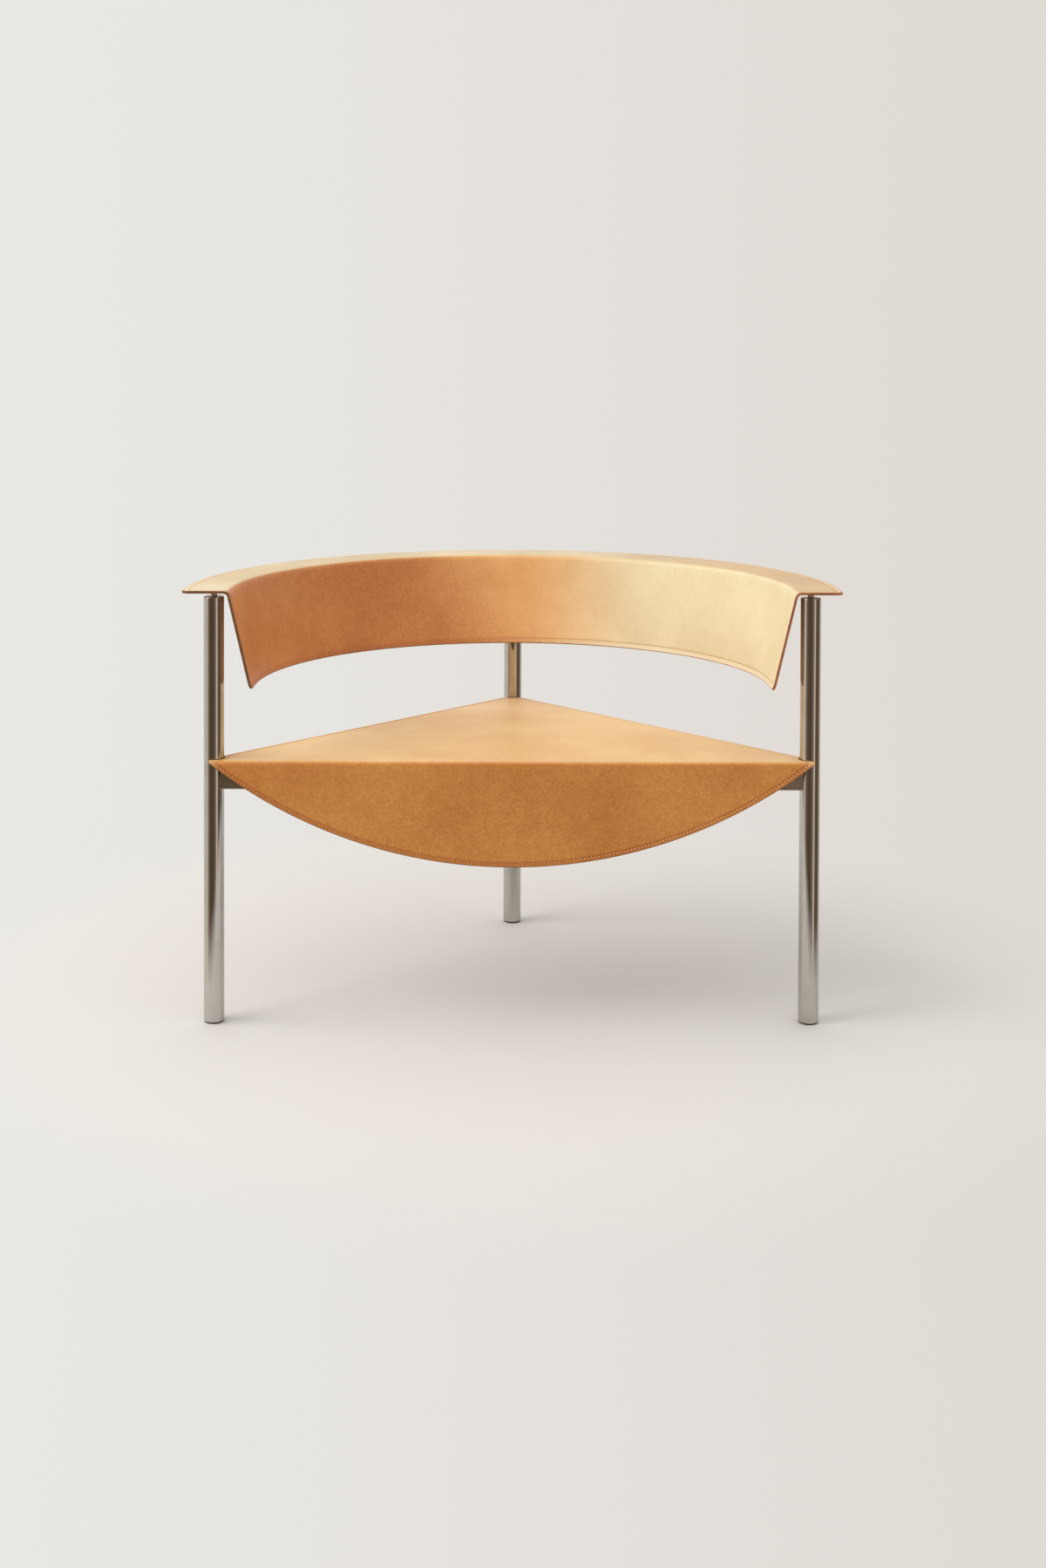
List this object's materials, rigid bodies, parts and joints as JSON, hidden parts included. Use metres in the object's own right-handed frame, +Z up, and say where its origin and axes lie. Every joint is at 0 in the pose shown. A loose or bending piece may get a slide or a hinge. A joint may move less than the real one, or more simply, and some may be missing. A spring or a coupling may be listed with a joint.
{
  "type": "lounge armchair",
  "caption": "Low wide armchair on upright polished tube legs: a triangular leather seat folds down in front as a half-moon apron, and a bent leather band makes back and armrests.",
  "frame": {"origin": "middle of the bounding box's footprint, on the floor", "axes": "+Z up, +Y towards the back, +X towards the sitter's left hand"},
  "size_m": [0.964, 0.5296, 0.634],
  "materials": {
    "polished_steel": "polished tube, drawn lengthwise",
    "blackened_steel": "mill finish, dark grey",
    "zinc_steel": "bright zinc plated",
    "glide_plastic": "hard nylon",
    "saddle_leather": "smooth vegetable-tanned saddle leather, natural tan",
    "lining_hide": "thinner hide, grain side out, natural tan"
  },
  "bodies": {
    "root": {"leg_front_left": "polished_steel", "leg_plug_front_left": "polished_steel", "foot_glide_front_left": "glide_plastic", "band_stud_front_left": "zinc_steel", "band_collar_front_left": "polished_steel", "leg_front_right": "polished_steel", "leg_plug_front_right": "polished_steel", "foot_glide_front_right": "glide_plastic", "band_stud_front_right": "zinc_steel", "band_collar_front_right": "polished_steel", "leg_rear": "polished_steel", "leg_plug_rear": "polished_steel", "foot_glide_rear": "glide_plastic", "band_stud_rear": "zinc_steel", "band_collar_rear": "polished_steel", "crossbar_front": "blackened_steel", "spine_bar": "blackened_steel", "seat_nut_left": "zinc_steel", "seat_screw_left": "zinc_steel", "seat_nut_right": "zinc_steel", "seat_screw_right": "zinc_steel", "seat_nut_middle": "zinc_steel", "seat_screw_middle": "zinc_steel", "seat_nut_rear": "zinc_steel", "seat_screw_rear": "zinc_steel", "seat_leather_face": "saddle_leather", "seat_core_plate": "blackened_steel", "seat_leather_lining": "lining_hide", "back_leather_face": "saddle_leather", "back_core_band": "blackened_steel", "back_leather_lining": "lining_hide"}
  },
  "joints": []
}
